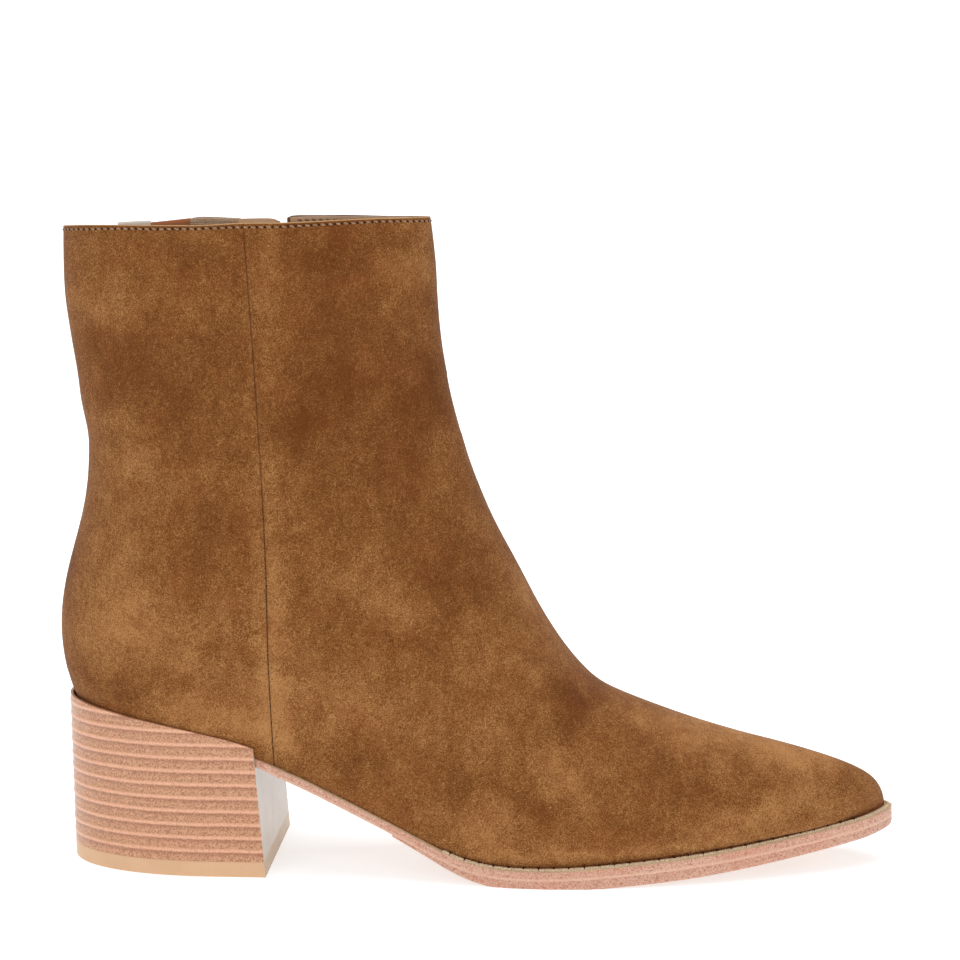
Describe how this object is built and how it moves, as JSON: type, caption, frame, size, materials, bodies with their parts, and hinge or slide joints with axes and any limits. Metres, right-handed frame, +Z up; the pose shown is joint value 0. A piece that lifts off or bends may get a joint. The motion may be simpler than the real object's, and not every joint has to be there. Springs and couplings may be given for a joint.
{
  "type": "ankle bootie",
  "caption": "Pointed suede ankle bootie for the right foot, with a ribbed block heel, a stitched two-layer sole and a zip on the inner side.",
  "frame": {"origin": "middle of the bootie's plan, on the floor it stands on", "axes": "+X to the toe, +Y to the inner side of the foot, +Z up"},
  "size_m": [0.2696, 0.0753, 0.2076],
  "materials": {
    "suede": "napped suede",
    "insole_leather": "smooth lining leather",
    "sole_leather": "trimmed and burnished edge",
    "tread_rubber": "matte",
    "stacked_heel": "ribbed stack, lightly polished",
    "lift_rubber": "matte",
    "zip_cloth": "woven",
    "zip_metal": "satin"
  },
  "bodies": {
    "boot": {"upper": "suede", "insole": "insole_leather", "midsole": "sole_leather", "outsole": "tread_rubber", "heel": "stacked_heel", "top_lift": "lift_rubber", "zip_tape": "zip_cloth", "zip_teeth": "zip_metal", "zip_slider": "zip_metal"},
    "pull_tab": {"zip_pull": "zip_metal"}
  },
  "joints": [
    {"name": "pull_tab_hinge", "type": "hinge", "parent": "boot", "child": "pull_tab", "pos_m": [-0.06376, 0.02296, 0.1967], "axis": [1, 0, 0], "range_deg": [0, 170]}
  ]
}
